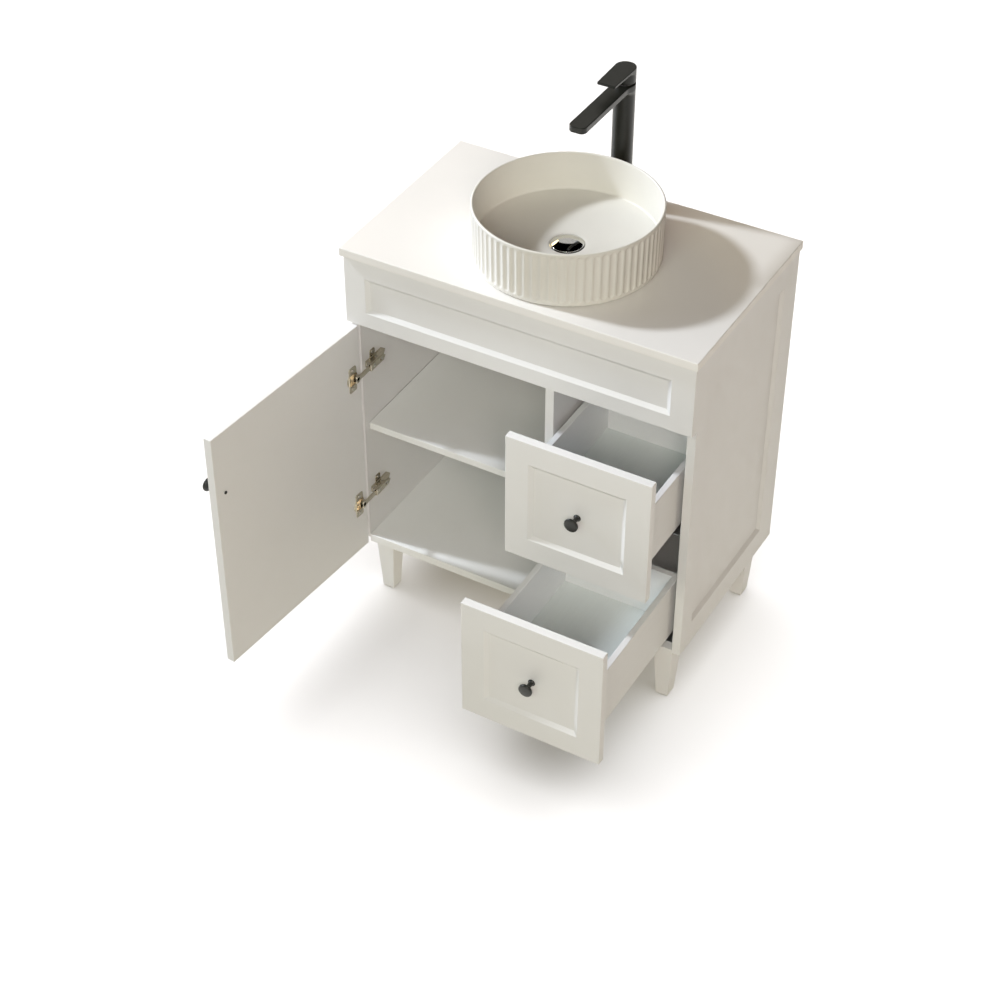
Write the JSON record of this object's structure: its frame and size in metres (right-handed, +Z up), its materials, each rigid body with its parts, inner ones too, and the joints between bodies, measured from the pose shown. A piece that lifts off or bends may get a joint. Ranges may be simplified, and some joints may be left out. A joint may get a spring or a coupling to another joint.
{
  "type": "vessel sink on vanity",
  "caption": "White framed bathroom vanity on tapered legs with a hinged door, drawers, a shelf, a round fluted vessel basin and a tall single-lever basin tap.",
  "frame": {"origin": "on the floor, in the plane of the cabinet back, at the middle of the cabinet width", "axes": "+X to the right seen from the front, +Y to the back (the wall), +Z up"},
  "size_m": [0.8107, 0.8936, 1.181],
  "materials": {
    "white_lacquer": "satin white lacquer on board",
    "drawer_box": "white melamine board",
    "drawer_base": "pale grey-white board",
    "worktop_stone": "honed white engineered stone",
    "matte_ceramic": "matt off-white",
    "chrome": "polished",
    "waste_plastic": "moulded",
    "rubber": "matt",
    "matte_black": "matt black",
    "brass": "turned",
    "tap_insert": "moulded",
    "nickel": "nickel plated",
    "screw_steel": "zinc plated",
    "slide_steel": "galvanised",
    "glide_plastic": "moulded"
  },
  "bodies": {
    "root": {"side_panel_left": "white_lacquer", "side_panel_right": "white_lacquer", "floor_panel": "white_lacquer", "partition": "white_lacquer", "back_panel": "white_lacquer", "back_rail": "white_lacquer", "front_stretcher": "white_lacquer", "shelf": "white_lacquer", "leg_front_left": "white_lacquer", "leg_front_right": "white_lacquer", "leg_back_left": "white_lacquer", "leg_back_right": "white_lacquer", "apron": "white_lacquer", "worktop": "worktop_stone", "basin": "matte_ceramic", "waste_body": "chrome", "waste_nut": "waste_plastic", "basin_seal": "rubber", "waste_seal": "rubber", "tap_body": "matte_black", "tap_base_ring": "matte_black", "tap_shank": "brass", "tap_nut": "brass", "tap_cartridge": "tap_insert", "tap_aerator": "tap_insert", "hinge_arms": "nickel", "hinge_plates": "nickel", "shelf_pins": "nickel", "hinge_plate_screws": "screw_steel", "upper_cabinet_rails": "slide_steel", "lower_cabinet_rails": "slide_steel", "leg_glides": "glide_plastic"},
    "door": {"door": "white_lacquer", "door_knob": "matte_black", "door_knob_screw": "screw_steel", "hinge_cups": "nickel", "hinge_cup_screws": "screw_steel"},
    "hinge_links": {"hinge_links": "nickel"},
    "upper_drawer": {"upper_front": "white_lacquer", "upper_sides": "drawer_box", "upper_inner_front": "drawer_box", "upper_back": "drawer_box", "upper_bottom": "drawer_base", "upper_knob": "matte_black", "upper_knob_screw": "screw_steel", "upper_drawer_rails": "slide_steel"},
    "lower_drawer": {"lower_front": "white_lacquer", "lower_sides": "drawer_box", "lower_inner_front": "drawer_box", "lower_back": "drawer_box", "lower_bottom": "drawer_base", "lower_knob": "matte_black", "lower_knob_screw": "screw_steel", "lower_drawer_rails": "slide_steel"},
    "upper_middle_slide": {"upper_middle_rails": "slide_steel"},
    "lower_middle_slide": {"lower_middle_rails": "slide_steel"},
    "stopper": {"stopper": "chrome"},
    "tap_stem": {"tap_stem": "brass"},
    "tap_handle": {"tap_handle": "matte_black", "tap_handle_pin": "matte_black"}
  },
  "joints": [
    {"name": "door_hinge", "type": "hinge", "parent": "root", "child": "door", "pos_m": [-0.3696, -0.4529, 0.4325], "axis": [0, 0, 1], "range_deg": [-8, 94.7]},
    {"name": "hinge_link_travel", "type": "slide", "parent": "root", "child": "hinge_links", "axis": [0, 1, 0], "range_m": [-0.00314, 0.0361]},
    {"name": "upper_drawer_slide", "type": "slide", "parent": "root", "child": "upper_drawer", "axis": [0, -1, 0], "range_m": [-0.159, 0.191]},
    {"name": "upper_middle_travel", "type": "slide", "parent": "root", "child": "upper_middle_slide", "axis": [0, -1, 0], "range_m": [-0.0796, 0.0956]},
    {"name": "lower_drawer_slide", "type": "slide", "parent": "root", "child": "lower_drawer", "axis": [0, -1, 0], "range_m": [-0.3255, 0.0245]},
    {"name": "lower_middle_travel", "type": "slide", "parent": "root", "child": "lower_middle_slide", "axis": [0, -1, 0], "range_m": [-0.16285, 0.01235]},
    {"name": "stopper_lift", "type": "slide", "parent": "root", "child": "stopper", "axis": [0, 0, 1], "range_m": [0, 0.009]},
    {"name": "tap_turn", "type": "hinge", "parent": "root", "child": "tap_stem", "pos_m": [0.009, -0.0435, 1.1495], "axis": [0, 0, 1], "range_deg": [-45, 45]},
    {"name": "tap_lift", "type": "hinge", "parent": "tap_stem", "child": "tap_handle", "pos_m": [0.009, -0.0285, 1.157], "axis": [-1, 0, 0], "range_deg": [0, 18]}
  ],
  "couplings": [
    {"joint": "hinge_link_travel", "follows": "door_hinge", "m_per_rad": 0.021781},
    {"joint": "upper_middle_travel", "follows": "upper_drawer_slide", "ratio": 0.5},
    {"joint": "lower_middle_travel", "follows": "lower_drawer_slide", "ratio": 0.5}
  ]
}
